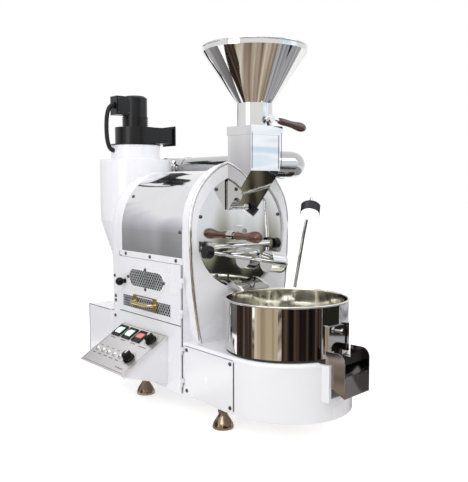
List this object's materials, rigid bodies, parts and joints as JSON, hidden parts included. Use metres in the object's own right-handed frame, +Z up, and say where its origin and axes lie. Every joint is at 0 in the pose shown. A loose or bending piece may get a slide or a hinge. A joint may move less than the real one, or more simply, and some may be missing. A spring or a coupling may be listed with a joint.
{
  "type": "home coffee bean roaster",
  "caption": "Small drum coffee roaster with feed hopper, round cooling tray and stirrer, sloped control panel on a hinged side door, and a chaff cyclone with blower.",
  "frame": {"origin": "middle of the machine's box at floor level, under the levelling feet", "axes": "+X to the operator's right, +Y from the cooling tray to the cyclone, +Z up"},
  "size_m": [0.469, 0.9663, 0.8822],
  "materials": {
    "white_paint": "smooth gloss white powder coat",
    "mirror_steel": "mirror-polished stainless steel",
    "bright_steel": "bright steel, lightly polished",
    "satin_steel": "satin stainless sheet with fine grain",
    "bronze": "bronze-coloured plated feet",
    "screw_steel": "plain steel screw heads",
    "dark_screen": "dark perforated sheet",
    "drum_steel": "heat-tinted steel drum",
    "motor_grey": "grey painted motor cases",
    "burner_iron": "dark cast burner tubes",
    "black_enamel": "semi-gloss black enamel",
    "black_plastic": "black moulded plastic",
    "seal_rubber": "black rubber ring",
    "red_wood": "varnished reddish-brown hardwood",
    "brass_handle": "polished brass pull",
    "green_rocker": "lit translucent green-white switch cap",
    "red_rocker": "translucent red switch cap",
    "lamp_cap": "small pale indicator lenses in silver bezels",
    "lamp_chrome": "chromed lamp tube and head"
  },
  "bodies": {
    "frame": {"base_shell": "white_paint", "base_pan": "satin_steel", "cabinet_shell": "white_paint", "wrap_cover": "mirror_steel", "service_panel": "white_paint", "rear_box": "white_paint", "power_inlet": "black_plastic", "levelling_feet": "bronze", "front_shell": "white_paint", "shell_bead": "bright_steel", "faceplate": "mirror_steel", "drum_liner": "satin_steel", "drum_gearmotor": "motor_grey", "burner": "burner_iron", "feed_box": "mirror_steel", "hopper": "mirror_steel", "exhaust_duct": "mirror_steel", "cyclone": "white_paint", "blower_housing": "black_enamel", "blower_motor": "black_enamel", "blower_conduit": "black_plastic", "tray_seal": "seal_rubber", "cooling_tray": "mirror_steel", "tray_floor": "bright_steel", "tray_chute": "satin_steel", "chute_bracket": "white_paint", "stirrer_motor": "motor_grey", "fan_motor": "motor_grey", "side_hinges": "bright_steel", "screws": "screw_steel"},
    "drum": {"drum": "drum_steel"},
    "stirrer": {"stirrer": "bright_steel"},
    "cooling_fan": {"cooling_fan": "black_enamel"},
    "blower_wheel": {"blower_wheel": "black_enamel"},
    "feed_gate": {"feed_gate": "bright_steel", "feed_grip": "red_wood"},
    "trier": {"trier_probe": "bright_steel", "trier_grip": "red_wood"},
    "discharge_door": {"discharge_door": "bright_steel", "discharge_knob": "black_plastic"},
    "clamp_knob": {"clamp_knob": "bright_steel"},
    "tray_gate": {"tray_gate": "bright_steel"},
    "upper_door": {"upper_door": "white_paint", "door_screens": "dark_screen", "bow_handle": "brass_handle", "door_screws": "screw_steel"},
    "latch_knob": {"latch_knob": "black_plastic"},
    "lower_door": {"lower_door": "white_paint", "control_box": "white_paint", "control_plate": "satin_steel", "switch_bezels": "black_plastic", "indicator_lamps": "lamp_cap"},
    "rocker_heat": {"rocker_heat": "green_rocker"},
    "rocker_drum": {"rocker_drum": "green_rocker"},
    "rocker_cool": {"rocker_cool": "red_rocker"},
    "dial_upper": {"dial_upper": "black_plastic"},
    "dial_lower": {"dial_lower": "black_plastic"},
    "lamp": {"lamp_stand": "lamp_chrome", "lamp_head": "lamp_chrome"},
    "chaff_drawer": {"chaff_drawer": "white_paint"}
  },
  "joints": [
    {"name": "drum_spin", "type": "hinge", "parent": "frame", "child": "drum", "pos_m": [0.04758, 0.0142, 0.446], "axis": [0, 1, 0], "continuous": true},
    {"name": "stirrer_spin", "type": "hinge", "parent": "frame", "child": "stirrer", "pos_m": [0.04758, -0.2858, 0.22], "axis": [0, 0, 1], "continuous": true},
    {"name": "fan_spin", "type": "hinge", "parent": "frame", "child": "cooling_fan", "pos_m": [0.04758, -0.2858, 0.1], "axis": [0, 0, 1], "continuous": true},
    {"name": "blower_spin", "type": "hinge", "parent": "frame", "child": "blower_wheel", "pos_m": [0.04758, 0.3772, 0.7], "axis": [0, 0, 1], "continuous": true},
    {"name": "feed_gate_turn", "type": "hinge", "parent": "frame", "child": "feed_gate", "pos_m": [0.04758, -0.1708, 0.712], "axis": [0, 1, 0], "range_deg": [0, 90]},
    {"name": "trier_slide", "type": "slide", "parent": "frame", "child": "trier", "axis": [0, -1, 0], "range_m": [0, 0.12]},
    {"name": "discharge_door_swing", "type": "hinge", "parent": "frame", "child": "discharge_door", "pos_m": [0.04758, -0.1278, 0.392], "axis": [-1, 0, 0], "range_deg": [0, 30]},
    {"name": "clamp_knob_turn", "type": "hinge", "parent": "frame", "child": "clamp_knob", "pos_m": [0.04758, -0.1348, 0.414], "axis": [1, 0, 0], "continuous": true},
    {"name": "tray_gate_slide", "type": "slide", "parent": "frame", "child": "tray_gate", "axis": [0, 0, 1], "range_m": [0, 0.04]},
    {"name": "upper_door_swing", "type": "hinge", "parent": "frame", "child": "upper_door", "pos_m": [-0.10822, -0.0858, 0.3], "axis": [0, 0, 1], "range_deg": [0, 110]},
    {"name": "latch_turn", "type": "hinge", "parent": "upper_door", "child": "latch_knob", "pos_m": [-0.11242, 0.1792, 0.305], "axis": [1, 0, 0], "range_deg": [0, 90]},
    {"name": "lower_door_swing", "type": "hinge", "parent": "frame", "child": "lower_door", "pos_m": [-0.10822, -0.0858, 0.13], "axis": [0, 0, 1], "range_deg": [0, 100]},
    {"name": "rocker_heat_tip", "type": "hinge", "parent": "lower_door", "child": "rocker_heat", "pos_m": [-0.13121, 0.1612, 0.1744], "axis": [0, 1, 0], "range_deg": [-6, 6]},
    {"name": "rocker_drum_tip", "type": "hinge", "parent": "lower_door", "child": "rocker_drum", "pos_m": [-0.13121, 0.1112, 0.1744], "axis": [0, 1, 0], "range_deg": [-6, 6]},
    {"name": "rocker_cool_tip", "type": "hinge", "parent": "lower_door", "child": "rocker_cool", "pos_m": [-0.13121, 0.0612, 0.1744], "axis": [0, 1, 0], "range_deg": [-6, 6]},
    {"name": "dial_upper_turn", "type": "hinge", "parent": "lower_door", "child": "dial_upper", "pos_m": [-0.13325, 0.00809, 0.17667], "axis": [-0.5252, 0, 0.851], "range_deg": [-135, 135]},
    {"name": "dial_lower_turn", "type": "hinge", "parent": "lower_door", "child": "dial_lower", "pos_m": [-0.19267, 0.0146, 0.14], "axis": [-0.5252, 0, 0.851], "range_deg": [-135, 135]},
    {"name": "lamp_swivel", "type": "hinge", "parent": "frame", "child": "lamp", "pos_m": [0.17558, -0.1678, 0.2], "axis": [0, 0, 1], "range_deg": [-35, 35]},
    {"name": "chaff_drawer_slide", "type": "slide", "parent": "frame", "child": "chaff_drawer", "axis": [0, 1, 0], "range_m": [0, 0.1]}
  ]
}
